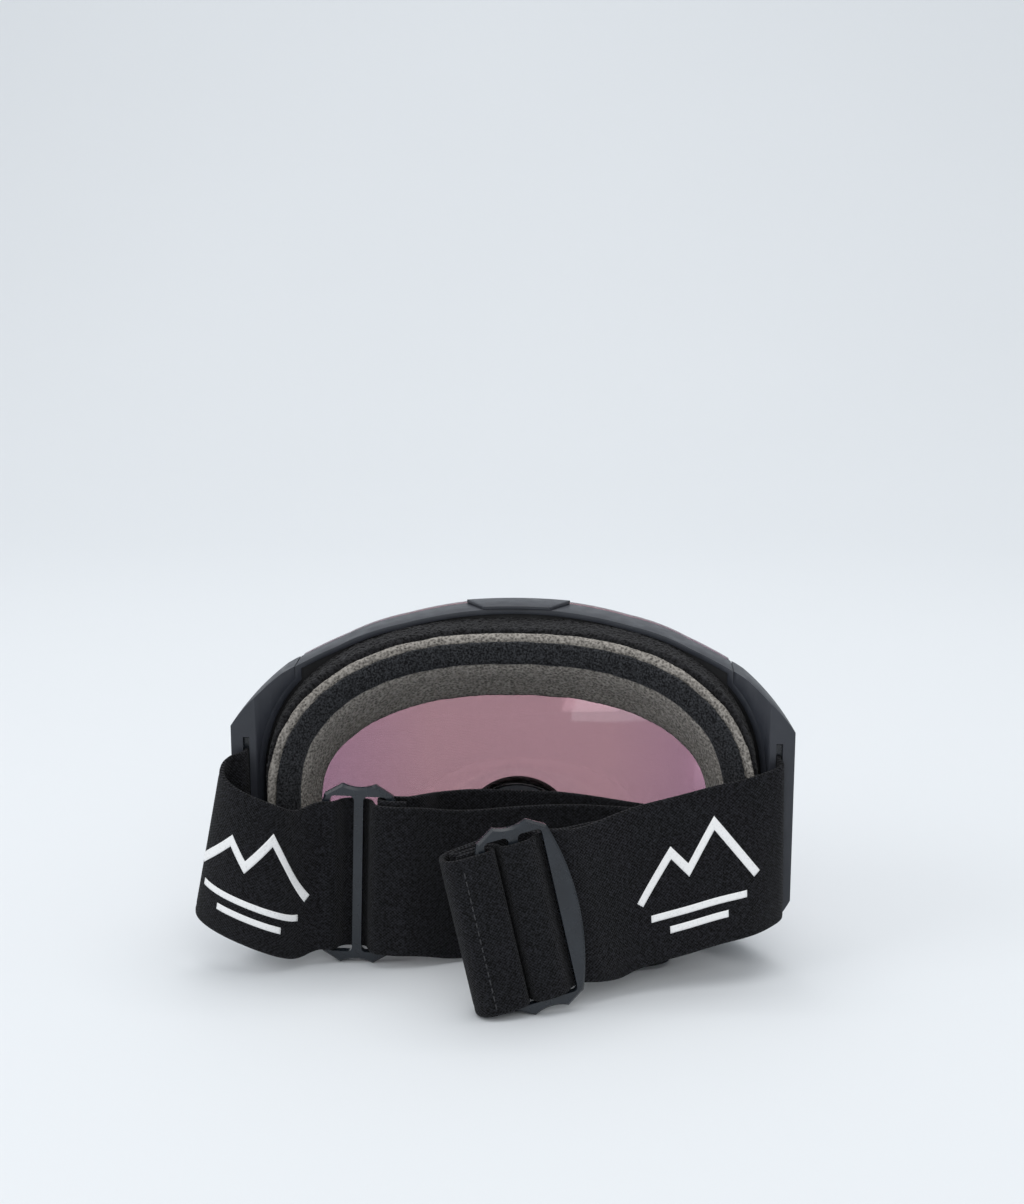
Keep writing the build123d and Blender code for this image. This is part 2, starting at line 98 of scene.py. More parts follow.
class Finish:
    """A node material, built up from object-space noise, bump and colour."""

    def __init__(self, name, roughness, **sockets):
        self.material = bpy.data.materials.new(name)
        self.material.use_nodes = True
        self.nodes = self.material.node_tree.nodes
        self.links = self.material.node_tree.links
        self.shader = self.nodes["Principled BSDF"]
        self.shader.inputs["Roughness"].default_value = roughness
        for socket, value in sockets.items():
            self.shader.inputs[socket.replace("_", " ")].default_value = value
        self.place = self.nodes.new("ShaderNodeTexCoord").outputs["Object"]

    def noise(self, size, detail=3.0, stretch=(1, 1, 1)):
        """Noise with features of this size."""
        node = self.nodes.new("ShaderNodeTexNoise")
        node.inputs["Scale"].default_value = 1 / (size * MM)
        node.inputs["Detail"].default_value = detail
        mapping = self.nodes.new("ShaderNodeMapping")
        mapping.inputs["Scale"].default_value = stretch
        self.links.new(self.place, mapping.inputs["Vector"])
        self.links.new(mapping.outputs["Vector"], node.inputs["Vector"])
        return node.outputs["Fac"]

    def cells(self, size):
        """Distance to the middle of open cells of this size."""
        node = self.nodes.new("ShaderNodeTexVoronoi")
        node.inputs["Scale"].default_value = 1 / (size * MM)
        self.links.new(self.place, node.inputs["Vector"])
        return node.outputs["Distance"]

    def attribute(self, name):
        """A value stored on the mesh's points."""
        node = self.nodes.new("ShaderNodeAttribute")
        node.attribute_name = name
        return node.outputs["Fac"]

    def math(self, operation, first, second=0.0):
        node = self.nodes.new("ShaderNodeMath")
        node.operation = operation
        for socket, value in zip(node.inputs, (first, second)):
            if isinstance(value, (int, float)):
                socket.default_value = value
            else:
                self.links.new(value, socket)
        return node.outputs[0]

    def ramp(self, source, stops):
        """Colours of source at the given stops."""
        node = self.nodes.new("ShaderNodeValToRGB")
        elements = node.color_ramp.elements
        while len(elements) < len(stops):
            elements.new(0.5)
        for element, (position, color) in zip(elements, stops):
            element.position = position
            element.color = (*color, 1)
        self.links.new(source, node.inputs["Fac"])
        return node.outputs["Color"]

    def color(self, source, stops):
        self.links.new(self.ramp(source, stops), self.shader.inputs["Base Color"])

    def roughness(self, source, low, high):
        stops = [(0.3, (low,) * 3), (0.7, (high,) * 3)]
        self.links.new(self.ramp(source, stops), self.shader.inputs["Roughness"])

    def bump(self, height, depth, strength=1.0):
        """Relief of this depth; a second call adds to the first."""
        node = self.nodes.new("ShaderNodeBump")
        node.inputs["Distance"].default_value = depth * MM
        node.inputs["Strength"].default_value = strength
        self.links.new(height, node.inputs["Height"])
        normal = self.shader.inputs["Normal"]
        if normal.is_linked:
            self.links.new(normal.links[0].from_socket, node.inputs["Normal"])
        self.links.new(node.outputs["Normal"], normal)


def moulded(name, dark, light, roughness, grain, depth):
    """Moulded plastic: a fine spark-eroded grain and slow changes of gloss."""
    finish = Finish(name, roughness, Specular_IOR_Level=0.5)
    finish.color(finish.noise(9, 2), [(0.3, dark), (0.75, light)])
    finish.roughness(finish.noise(5, 4), roughness - 0.05, roughness + 0.07)
    finish.bump(finish.noise(grain, 2), depth)
    return finish.material


def foam(name, dark, light, cell, depth, mottle):
    """Open-cell foam: pits, and cells that are lighter on their walls; the darker colour in the pits is
    painted shade.
    """
    finish = Finish(name, 0.95, Specular_IOR_Level=0.15, Sheen_Weight=0.08)
    pits = finish.cells(cell)
    speckle = finish.noise(cell * mottle, 3)
    # painted shade: the colour is darker where the cells sink into pits and lighter on their walls, mixed
    # with random speckle
    speckle_and_pit_shade = finish.math("ADD", finish.math("MULTIPLY", pits, 0.45), finish.math("MULTIPLY", speckle, 0.75))
    finish.color(speckle_and_pit_shade, [(0.38, dark), (0.78, light)])
    finish.bump(pits, depth)
    finish.bump(speckle, depth)
    return finish.material


def fleece():
    """Short black pile, brushed up here and there."""
    finish = Finish("fleece_pile", 1.0, Specular_IOR_Level=0.1, Sheen_Weight=0.25, Sheen_Roughness=0.4)
    finish.shader.inputs["Sheen Tint"].default_value = (0.55, 0.56, 0.58, 1)
    pile = finish.noise(0.6, 4)
    finish.color(pile, [(0.38, (0.005, 0.0052, 0.006)), (0.68, (0.05, 0.052, 0.057))])
    finish.bump(pile, 0.35)
    finish.bump(finish.noise(3, 3), 0.35, 0.5)
    return finish.material


def webbing():
    """Woven elastic: ribs along the band, picks across it, and loose fibre; the colour carries painted shade
    in the weave's hollows.
    """
    finish = Finish("woven_elastic", 0.9, Specular_IOR_Level=0.14, Sheen_Weight=0.05, Sheen_Roughness=0.5)
    rib, pick = 1.0, 1.15
    along, across = finish.attribute("along"), finish.attribute("across")
    ribs = finish.math("SINE", finish.math("MULTIPLY", across, 2 * pi / rib))
    picks = finish.math("SINE", finish.math("MULTIPLY", along, 2 * pi / pick))
    weave = finish.math("MULTIPLY", ribs, picks)
    fibre = finish.noise(0.75, 4)
    # painted shade: the weave's relief darkens the colour in its hollows and lightens it on its raised
    # parts; the fibre noise is random tone
    fibre_tone_and_weave_shade = finish.math("ADD", finish.math("MULTIPLY", weave, 0.12), fibre)
    finish.color(fibre_tone_and_weave_shade, [(0.36, (0.0008, 0.0008, 0.001)), (0.72, (0.021, 0.0215, 0.026))])
    finish.bump(weave, 0.16)
    finish.bump(fibre, 0.3)
    return finish.material


def screen_print():
    """White print that lets a little of the weave through."""
    finish = Finish("white_print", 0.55)
    wear = finish.noise(0.6, 4)
    finish.color(wear, [(0.25, (0.7, 0.7, 0.7)), (0.45, (0.9, 0.9, 0.9))])
    finish.bump(wear, 0.05)
    return finish.material


def lens_tint(name, middle, edge, edge_x, mirror, gloss):
    """Clear plastic, dyed, and more purple towards its ends."""
    finish = Finish(name, 0.03, IOR=1.5, Transmission_Weight=1.0, Metallic=mirror, Specular_IOR_Level=gloss)
    split = finish.nodes.new("ShaderNodeSeparateXYZ")
    finish.links.new(finish.place, split.inputs[0])
    offset = finish.math("SUBTRACT", split.outputs["X"], origin_x)
    reach = finish.math("DIVIDE", finish.math("ABSOLUTE", offset), edge_x * MM)
    finish.color(reach, [(0.45, middle), (0.95, edge)])
    return finish.material


def metal():
    """Nickel plate for the magnets and pins."""
    finish = Finish("nickel_plate", 0.3, Metallic=1.0)
    finish.color(finish.noise(0.8, 3), [(0.3, (0.5, 0.5, 0.52)), (0.7, (0.65, 0.65, 0.66))])
    finish.roughness(finish.noise(0.5, 4, (1, 1, 6)), 0.25, 0.4)
    return finish.material


shell_satin = moulded("shell_satin", (0.023, 0.026, 0.034), (0.031, 0.034, 0.044), 0.45, 0.2, 0.02)
slider_gloss = moulded("slider_gloss", (0.009, 0.012, 0.017), (0.015, 0.02, 0.027), 0.27, 0.5, 0.015)
carrier_black = moulded("carrier_rubber", (0.006, 0.006, 0.007), (0.012, 0.012, 0.013), 0.7, 0.3, 0.03)
coarse_black = foam("coarse_black_foam", (0.0008, 0.0008, 0.001), (0.026, 0.026, 0.029), 1.15, 0.7, 0.6)
warm_grey = foam("warm_grey_foam", (0.085, 0.078, 0.07), (0.37, 0.345, 0.315), 0.95, 0.4, 0.75)
spacer_black = foam("spacer_foam", (0.004, 0.004, 0.004), (0.02, 0.02, 0.02), 0.4, 0.1, 1.0)
fleece_black = fleece()
elastic = webbing()
white_print = screen_print()
thread = moulded("thread", (0.01, 0.01, 0.012), (0.03, 0.03, 0.034), 0.6, 0.2, 0.05)
outer_tint = lens_tint("rose_lens", (0.64, 0.375, 0.415), (0.55, 0.315, 0.41), 68, 0.15, 0.3)
inner_clear = lens_tint("clear_pane", (0.97, 0.94, 0.95), (0.95, 0.92, 0.95), 68, 0.0, 0.1)
nickel = metal()

# ---------------------------------------------------------------- CAD pieces that stay


def carry(material, bevel, *names, swell=0.0):
    """CAD nodes that keep their shape: a finish and softened edges.

    A positive swell closes a fit's clearance, and a negative one parts faces that coincide.
    """
    for name in names:
        node = nodes[name]
        node.data.materials.clear()
        node.data.materials.append(material)
        if bevel or swell:
            weld = node.modifiers.new("weld", "WELD")
            weld.merge_threshold = 0.002 * MM
        if swell:
            grown = node.modifiers.new("swell", "DISPLACE")
            grown.strength = swell * MM
            grown.mid_level = 0.0
        if bevel:
            edges = node.modifiers.new("soft edges", "BEVEL")
            edges.width = bevel * MM
            edges.segments = 2
            edges.limit_method = "ANGLE"
            edges.angle_limit = radians(38)
            edges.harden_normals = True


carry(shell_satin, 0.35, "frame_shell", "top_badge")
carry(shell_satin, 0.2, "outrigger_left", "outrigger_right", swell=0.25)
carry(shell_satin, 0.0, "lens_rim", swell=-0.1)
carry(slider_gloss, 0.0, "slider_left", "slider_right", "strap_anchor_left", "strap_anchor_right")
carry(carrier_black, 0.0, "face_carrier")
carry(nickel, 0.0, "frame_magnets", "lens_magnets", "outrigger_pins")
carry(outer_tint, 0.0, "outer_lens")
carry(inner_clear, 0.0, "inner_lens")
carry(spacer_black, 0.0, "lens_spacer", swell=-0.1)

# ---------------------------------------------------------------- meshes


def make_piece(name, points, faces, material):
    """A smooth-shaded object from points and faces."""
    mesh = bpy.data.meshes.new(name)
    mesh.from_pydata([tuple(point) for point in points], [], faces)
    mesh.update()
    mesh.polygons.foreach_set("use_smooth", [True] * len(mesh.polygons))
    piece = bpy.data.objects.new(name, mesh)
    bpy.context.scene.collection.objects.link(piece)
    mesh.materials.append(material)
    return piece


def roughen(piece, *layers):
    """Moves each point along its normal by noise; a layer is (feature size, amount)."""
    normals = [vertex.normal.copy() for vertex in piece.data.vertices]
    for vertex, normal in zip(piece.data.vertices, normals):
        shift = sum(noise.noise(vertex.co / (size * MM)) * amount for size, amount in layers)
        vertex.co += normal * (shift * MM)
    piece.data.update()


# ---------------------------------------------------------------- face foam


def nose_z(x, grow):
    """Height of the nose arch, widened by grow, above the floor."""
    radius = nose_radius + grow
    spring = radius * nose_spring_out
    x = abs(x)
    if x < spring:
        return nose_center + sqrt(radius**2 - x**2)
    spring_z = nose_center + radius * nose_spring_up
    slope = (spring_z + nose_foot_depth) / (spring - nose_half_base - grow)
    return spring_z + (x - spring) * slope


def resample(points, count):
    """count points at even steps along a line of many points, without its last one."""
    steps = [0.0]
    for first, second in zip(points, points[1:]):
        steps.append(steps[-1] + hypot(second[0] - first[0], second[1] - first[1]))
    wanted = np.linspace(0, steps[-1], count + 1)[:-1]
    xs = np.interp(wanted, steps, [point[0] for point in points])
    zs = np.interp(wanted, steps, [point[1] for point in points])
    return list(zip(xs, zs))


def outline(half, top, power, middle, bottom, grow):
    """A closed rounded oval with the nose arch standing in it, from its top and clockwise from behind."""
    fine = 400
    top_steps, flank_steps, arch_steps = 150, 110, 80
    angles = np.linspace(0, pi / 2, fine)
    upper = [
        (half * sin(a) ** (2 / power), middle + (top - middle) * max(cos(a), 0.0) ** (2 / power))
        for a in angles
    ]

    def low(x):
        oval = middle - (middle - bottom) * max(1 - (abs(x) / half) ** power, 0.0) ** (1 / power)
        arch = nose_z(x, grow)
        return (oval + arch + sqrt((oval - arch) ** 2 + corner_softness**2)) / 2, arch > oval

    lower = [(half * cos(a) ** (2 / power)) if a < pi / 2 else 0.0 for a in angles]
    flank = [(x, low(x)[0]) for x in lower if not low(x)[1]]
    corner = flank[-1][0]
    arch = [(x, low(x)[0]) for x in np.linspace(corner, 0, fine)]
    flank[0] = (half, middle)
    right = resample(upper, top_steps) + resample(flank, flank_steps) + resample(arch, arch_steps)
    left = [(-x, z) for x, z in reversed(right[1:])]
    return right + [arch[-1]] + left


def foam_ring(name, stations, material, replaced, slot, fill, *layers):
    """A soft ring through outlines.

    A station is (half width, top, power, middle, bottom, nose grow, crown); a layer goes to roughen.
    """
    points = []
    for *shape, crown in stations:
        points += [world(x, wrap_y(x, crown), z) for x, z in outline(*shape)]
    count = len(points) // len(stations)
    faces = []
    for row in range(len(stations)):
        following = (row + 1) % len(stations)
        for i in range(count):
            j = (i + 1) % count
            faces.append((row * count + i, row * count + j, following * count + j, following * count + i))
    piece = make_piece(name, points, faces, material)
    roughen(piece, *layers)
    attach(piece, "root")
    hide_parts(replaced)
    return piece


def between(first, second, count):
    """Stations from first to second, without the second."""
    return [
        tuple(a + (b - a) * i / count for a, b in zip(first, second)) for i in range(count)
    ]


def profile(corners):
    """A closed list of stations from (station, steps to the next one)."""
    stations = []
    for i, (station, steps) in enumerate(corners):
        stations += between(station, corners[(i + 1) % len(corners)][0], steps)
    return stations


foam_ring("coarse_foam", profile([
    ((77.6, 102.9, 2.9, 53, 2.2, 2.8, 43.3), 14),
    ((76.9, 101.3, 2.9, 53, 3.0, 3.0, 35.0), 2),
    ((76.2, 100.5, 2.9, 53, 3.6, 3.4, 34.1), 2),
    ((74.6, 98.6, 2.9, 52, 5.0, 4.2, 33.9), 3),
    ((71.5, 94.0, 2.8, 50, 7.5, 4.3, 34.2), 1),
    ((71.5, 94.0, 2.8, 50, 7.5, 4.3, 43.1), 2),
]), coarse_black, "foam_base", "black_foam", 1.0, (1.2, 0.45), (6, 0.25))

foam_ring("grey_foam", profile([
    ((75.2, 98.9, 2.8, 50, 3.2, 0.9, 34.0), 2),
    ((76.2, 99.8, 2.8, 50, 2.5, 0.3, 33.3), 2),
    ((76.4, 100.0, 2.8, 50, 2.3, 0.2, 32.2), 2),
    ((76.1, 99.7, 2.8, 50, 2.5, 0.3, 31.0), 2),
    ((75.2, 98.8, 2.8, 50, 3.2, 0.6, 30.4), 2),
    ((72.5, 96.4, 2.8, 50, 5.0, 2.0, 30.3), 2),
    ((68.4, 92.0, 2.8, 50, 9.0, 5.0, 30.3), 2),
    ((67.1, 90.6, 2.8, 49, 10.2, 6.1, 29.7), 2),
    ((66.4, 89.6, 2.8, 49, 10.8, 6.6, 30.0), 2),
    ((65.6, 87.6, 2.75, 48.5, 11.4, 7.0, 31.6), 16),
    ((62.6, 77.8, 2.65, 46, 13.4, 8.6, 41.4), 3),
    ((62.7, 76.2, 2.6, 45.5, 13.9, 8.9, 43.2), 2),
    ((63.6, 78.6, 2.6, 46, 13.4, 8.6, 43.4), 2),
    ((71.0, 93.6, 2.8, 50, 8.0, 4.4, 43.0), 3),
    ((71.0, 93.6, 2.8, 50, 8.0, 4.4, 34.2), 1),
]), warm_grey, "foam_middle", "grey_foam", 1.0, (0.9, 0.16), (7, 0.3))

foam_ring("fleece_layer", profile([
    ((73.3, 97.4, 2.8, 50, 4.4, 1.0, 30.2), 2),
    ((73.7, 97.8, 2.8, 50, 4.0, 0.6, 29.6), 2),
    ((73.3, 97.4, 2.8, 50, 4.2, 0.9, 28.9), 2),
    ((71.5, 95.8, 2.8, 50, 5.6, 2.0, 28.4), 10),
    ((68.8, 92.0, 2.8, 50, 9.0, 4.9, 28.2), 2),
    ((67.3, 90.8, 2.8, 50, 10.0, 5.8, 28.6), 2),
    ((66.9, 90.4, 2.8, 50, 10.3, 6.0, 29.3), 2),
    ((67.9, 91.2, 2.8, 50, 9.6, 5.5, 30.2), 3),
]), fleece_black, "foam_face", "fleece", 0.8, (0.8, 0.16), (5, 0.25))

# ---------------------------------------------------------------- strap routes

strap_width = 49.5
strap_thickness = 1.5
strap_sag = 0.32
sag_start = 12.0
channel_x = 83.4
anchor_face = 1.4


class SliderFrame:
    """Where a slider stands: u runs along the strap, w to the lens side, s up its length."""

    def __init__(self, center, turn, tilt, lean):
        self.center = Vector(center)
        plan = Vector((cos(radians(turn)), sin(radians(turn)), 0))
        back = Vector((-sin(radians(turn)), cos(radians(turn)), 0))
        length = plan * -sin(radians(tilt)) + Vector((0, 0, cos(radians(tilt)))) + back * sin(radians(lean))
        self.s = length.normalized()
        self.w = (back - self.s * back.dot(self.s)).normalized()
        self.u = self.w.cross(self.s)

    def at(self, u, w, s=0.0):
        return self.center + self.u * u + self.w * w + self.s * s


left_frame = SliderFrame((-48.4, -3.5, 30.0), 0.0, -1.8, 0.0)
right_frame = SliderFrame((7.4, -37.6, 30.2), 16.0, 11.8, 5.0)


def in_slider(slider, path, shift=0.0, entry_side=0):
    """(lower edge, upper edge) points of a band in a slider; it sags from the slots on its entry side."""
    half = strap_width / 2
    edges = []
    for u, w in path:
        height = shift - strap_sag * max(u * entry_side - sag_start, 0)
        edges.append((slider.at(u, w, height - half), slider.at(u, w, height + half)))
    return edges


def free_run(stations):
    """(lower edge, upper edge) points from each edge's (x, y) and the lower edge's height."""
    edges = []
    for low, up, z in stations:
        lean = (up[0] - low[0]) ** 2 + (up[1] - low[1]) ** 2
        edges.append((Vector((*low, z)), Vector((*up, z + sqrt(strap_width**2 - lean)))))
    return edges


def upright(points):
    """Stations of a run that stands plumb, from (x, y, height of its lower edge)."""
    return [((x, y), (x, y), z) for x, y, z in points]


left_route = free_run([
    ((-channel_x, anchor_face), (-channel_x, anchor_face), 20.0),
    ((-83.4, -0.6), (-83.4, -0.6), 19.9),
    ((-86.4, -2.4), (-84.4, -2.8), 19.9),
    ((-93.0, -1.8), (-87.4, -4.4), 19.6),
    ((-98.6, -2.6), (-89.2, -7.8), 18.7),
    ((-99.4, -6.6), (-88.6, -12.0), 17.0),
    ((-95.6, -10.8), (-85.2, -15.6), 14.6),
    ((-89.0, -13.9), (-80.6, -17.4), 12.1),
    ((-81.0, -15.2), (-74.8, -17.2), 9.1),
    ((-73.6, -14.2), (-70.0, -14.6), 6.0),
]) + in_slider(left_frame, [
    (-17.5, -5.4), (-14.0, -3.2), (-11.0, -2.5), (-8.8, -2.3), (-7.1, -1.2), (-6.0, 0.5), (-4.4, 2.0),
    (-2.2, 2.5), (0.0, 2.5), (2.2, 2.3), (3.6, 1.2), (4.3, -0.8), (5.2, -2.9), (7.2, -4.3), (10.0, -4.7),
    (13.0, -4.8), (16.5, -4.6),
], shift=-0.5, entry_side=-1) + free_run([
    ((-27.0, -6.2), (-27.0, -5.8), 3.4),
    ((-20.0, -3.0), (-20.0, -1.8), 1.6),
    ((-12.0, 0.0), (-12.0, 0.8), 0.8),
    ((-1.0, 2.4), (-1.0, 4.0), 0.8),
    ((10.0, 5.4), (10.0, 6.6), 0.8),
    ((20.0, 6.8), (20.0, 7.4), 0.8),
] + upright([
    (30.0, 6.6, 0.8), (39.0, 5.4, 0.8), (44.5, 4.4, 0.8), (47.4, 2.4, 0.8), (47.2, -0.2, 0.8),
    (44.4, -2.2, 0.8), (36.0, -4.9, 0.8), (25.0, -9.3, 0.8), (13.5, -16.2, 0.8),
])) + in_slider(right_frame, [
    (-3.0, 13.2), (-10.0, 10.9), (-15.0, 9.6), (-18.8, 8.3), (-20.9, 6.0), (-21.4, 3.0), (-20.7, 0.0),
    (-18.8, -1.9), (-15.8, -2.5), (-12.4, -2.5), (-9.0, -2.5), (-7.1, -1.7), (-6.6, 0.0), (-7.1, 1.7),
    (-9.0, 2.5), (-12.0, 2.4), (-15.2, 2.3), (-17.0, 1.5),
], shift=-1.0)

right_route = free_run([
    ((channel_x, anchor_face), (channel_x, anchor_face), 20.0),
    ((83.4, -0.8), (83.4, -0.8), 19.6),
    ((84.8, -4.2), (84.1, -2.9), 18.6),
    ((82.0, -9.4), (80.4, -5.3), 17.2),
    ((75.6, -13.6), (73.8, -7.0), 15.6),
    ((66.0, -16.6), (64.4, -8.4), 13.9),
    ((57.0, -18.9), (54.6, -10.4), 11.8),
    ((48.0, -21.2), (44.6, -13.0), 9.9),
    ((40.0, -24.2), (36.0, -16.6), 8.3),
]) + in_slider(right_frame, [
    (20.5, 4.2), (17.5, 3.0), (14.5, 2.5), (11.5, 2.5), (9.0, 2.3), (7.2, 1.2), (6.0, -0.5), (4.4, -2.0),
    (2.2, -2.6), (0.0, -2.7), (-2.2, -2.5), (-3.6, -1.4), (-4.3, 0.6), (-5.0, 2.6), (-6.8, 4.2), (-9.5, 4.7),
    (-12.5, 4.5), (-15.4, 4.2), (-17.3, 4.5), (-18.0, 5.7), (-16.8, 6.9), (-14.0, 7.6), (-9.0, 8.8),
    (-2.0, 11.0),
], shift=-0.8, entry_side=1) + free_run(upright([
    (14.4, -18.4, 1.0), (25.4, -11.8, 1.0), (36.2, -7.2, 1.0), (45.4, -4.3, 1.0), (49.4, -1.2, 1.0),
    (49.7, 2.8, 1.0), (46.6, 6.0, 1.0), (39.0, 8.4, 1.4), (28.0, 12.2, 1.8), (15.0, 15.6, 2.2),
    (0.0, 15.8, 2.6), (-14.0, 13.0, 3.5), (-24.0, 8.6, 3.9),
])) + in_slider(left_frame, [
    (19.0, 5.2), (15.6, 3.0), (12.0, 2.5), (9.0, 2.4), (7.2, 1.7), (6.6, 0.2), (7.0, -1.5), (9.0, -2.4),
    (12.0, -2.5), (15.2, -2.3),
], shift=0.6)

# ---------------------------------------------------------------- strap bands


def smooth_line(parameters, points):
    """A function through the points: the natural cubic spline at a parameter."""
    t, p = np.array(parameters), np.array([tuple(point) for point in points])
    count, step = len(t), np.diff(t)
    system, right = np.zeros((count, count)), np.zeros((count, 3))
    system[0, 0] = system[-1, -1] = 1
    for i in range(1, count - 1):
        system[i, i - 1 : i + 2] = step[i - 1], 2 * (step[i - 1] + step[i]), step[i]
        right[i] = 6 * ((p[i + 1] - p[i]) / step[i] - (p[i] - p[i - 1]) / step[i - 1])
    bend = np.linalg.solve(system, right)

    def at(value):
        i = min(max(int(np.searchsorted(t, value)) - 1, 0), count - 2)
        a, b, h = t[i + 1] - value, value - t[i], step[i]
        curve = (bend[i] * a**3 + bend[i + 1] * b**3) / (6 * h)
        return curve + (p[i] / h - bend[i] * h / 6) * a + (p[i + 1] / h - bend[i + 1] * h / 6) * b

    return at


class Band:
    """An elastic band: points are found by the distance along it and across it from its middle."""

    station_step = 0.6

    def __init__(self, edges, print_side):
        self.print_side = print_side
        steps = [0.0]
        for (low, up), (next_low, next_up) in zip(edges, edges[1:]):
            steps.append(steps[-1] + ((next_low - low).length + (next_up - up).length) / 2)
        self.length = steps[-1]
        self.low = smooth_line(steps, [low for low, up in edges])
        self.up = smooth_line(steps, [up for low, up in edges])

    def frame_at(self, s):
        """Middle of the band at s, its direction across, and its normal on the printed side."""
        s = min(max(s, 0.0), self.length)
        delta = 0.3
        low, up = self.low(s), self.up(s)
        ahead, behind = min(s + delta, self.length), max(s - delta, 0.0)
        along = (self.low(ahead) + self.up(ahead)) - (self.low(behind) + self.up(behind))
        across = (up - low) / np.linalg.norm(up - low)
        normal = np.cross(along, across)
        return (low + up) / 2, across, normal / np.linalg.norm(normal) * self.print_side

    def at(self, s, v, lift):
        """The point v from the middle line, lift proud of the band's middle surface."""
        middle, across, normal = self.frame_at(s)
        return world(*(middle + across * v + normal * lift))

    def nearest(self, point, start=0.0, end=None):
        """Distance along the band of the place nearest to a point."""
        stations = np.arange(start, end or self.length, 0.5)
        gaps = [np.linalg.norm(self.frame_at(s)[0] - np.array(tuple(point))) for s in stations]
        return float(stations[int(np.argmin(gaps))])


left_band = Band(left_route, 1)
right_band = Band(right_route, -1)

edge_round = 0.5
rib_start, rib_end, rib_depth = 1.6, 2.8, 0.12


def band_section():
    """(across, half thickness) of a band with round selvedges and a slightly thinner edge rib."""
    half = strap_width / 2
    columns = 46
    section = []
    for i in range(columns + 1):
        v = -half + strap_width * i / columns
        inset = half - abs(v)
        thinning = rib_depth if rib_start < inset < rib_end else 0.0
        section.append((v, strap_thickness / 2 - thinning))
    rounded = [(half - edge_round * (1 - sin(a)), strap_thickness / 2 * cos(a)) for a in (pi / 6, pi / 3)]
    inner = section[1:-1]
    return [(-v, t) for v, t in reversed(rounded)] + inner + rounded


def bend(piece, *ends):
    """Bakes a piece's transform into its mesh; it is not blended between root and a slider, and its ends are
    not used.
    """
    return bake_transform(piece)


def band_piece(name, band, start, end, node, ends):
    """A closed stretch of woven band between two distances along it."""
    count = ceil((end - start) / Band.station_step)
    section = band_section()
    loop = [(v, t) for v, t in section] + [(v, -t) for v, t in reversed(section)]
    points, along, across = [], [], []
    for i in range(count + 1):
        s = start + (end - start) * i / count
        middle, side, normal = band.frame_at(s)
        for v, t in loop:
            points.append(world(*(middle + side * v + normal * t)))
            along.append(s)
            across.append(v)
    ring = len(loop)
    faces = []
    for i in range(count):
        for j in range(ring):
            k = (j + 1) % ring
            faces.append((i * ring + j, i * ring + k, (i + 1) * ring + k, (i + 1) * ring + j))
    faces.append(tuple(reversed(range(ring))))
    faces.append(tuple(count * ring + j for j in range(ring)))
    if band.print_side < 0:
        faces = [tuple(reversed(face)) for face in faces]
    piece = make_piece(name, points, faces, elastic)
    for label, values in (("along", along), ("across", across)):
        piece.data.attributes.new(label, "FLOAT", "POINT").data.foreach_set("value", values)
    bend(piece, *ends)
    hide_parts(node)
    return piece


# Where each slider's move would fade out along the straps, in the shell's frame; bend does not use these
left_in = ("root", "slider_left", (-86, -14, 30), (-65, -14, 30))
left_out = ("slider_left", "root", (-32, 0, 30), (-6, 0, 30))
right_in = ("root", "slider_right", (60, -18, 30), (26, -18, 30))
right_out = ("slider_right", "root", (0, -22, 30), (0, -6, 30))
right_back = ("root", "slider_right", (0, -6, 30), (0, -22, 30))
left_back = ("root", "slider_left", (-6, 0, 30), (-32, 0, 30))

left_cross = left_band.nearest(left_frame.at(0.0, 2.5), 60)
left_middle = left_band.nearest((20.0, 7.0, 25.0))
right_cross = right_band.nearest(right_frame.at(12.0, 2.5))
right_middle = right_band.nearest((39.0, 8.4, 26.0))

stretches = {
    "left_band_outer": (left_band, 0.0, left_cross, "strap_band_left", left_in),
    "left_band_inner": (left_band, left_cross, left_middle, "strap_band_left", left_out),
    "left_band_fold": (left_band, left_middle, left_band.length, "strap_band_left", right_back),
    "right_band_outer": (right_band, 0.0, right_cross, "strap_band_right", right_in),
    "right_band_fold": (right_band, right_cross, right_middle, "strap_band_right", right_out),
    "right_band_inner": (right_band, right_middle, right_band.length, "strap_band_right", left_back),
}
bands = {name: band_piece(name, *facts) for name, facts in stretches.items()}

# ---------------------------------------------------------------- print and stitches

print_lift = 0.06
print_thickness = 0.05
sharpest_mitre = 0.35


def stroke(band, center, path, width):
    """Grid points and faces of a mitred line drawn on a band; the path is (along, up) from center."""
    ways = [Vector((b[0] - a[0], b[1] - a[1])).normalized() for a, b in zip(path, path[1:])]
    sides = []
    for i in range(len(path)):
        before, after = ways[max(i - 1, 0)], ways[min(i, len(ways) - 1)]
        mitre = (before + after).normalized()
        side = Vector((-mitre.y, mitre.x))
        sides.append(side / max(mitre.dot(after), sharpest_mitre) * (width / 2))
    rows = []
    for i in range(len(ways)):
        pieces = max(ceil(hypot(path[i + 1][0] - path[i][0], path[i + 1][1] - path[i][1]) / 0.8), 1)
        for k in range(pieces + (i == len(ways) - 1)):
            part = k / pieces
            spot = Vector(path[i]).lerp(Vector(path[i + 1]), part)
            rows.append((spot, sides[i].lerp(sides[i + 1], part)))
    points, faces = [], []
    columns = 4
    lift = strap_thickness / 2 + print_lift
    for spot, side in rows:
        for j in range(columns + 1):
            p = spot + side * (2 * j / columns - 1)
            points.append(band.at(center + p.x * band.print_side, p.y, lift))
    for i in range(len(rows) - 1):
        for j in range(columns):
            a = i * (columns + 1) + j
            faces.append((a, a + 1, a + columns + 2, a + columns + 1))
    return points, faces


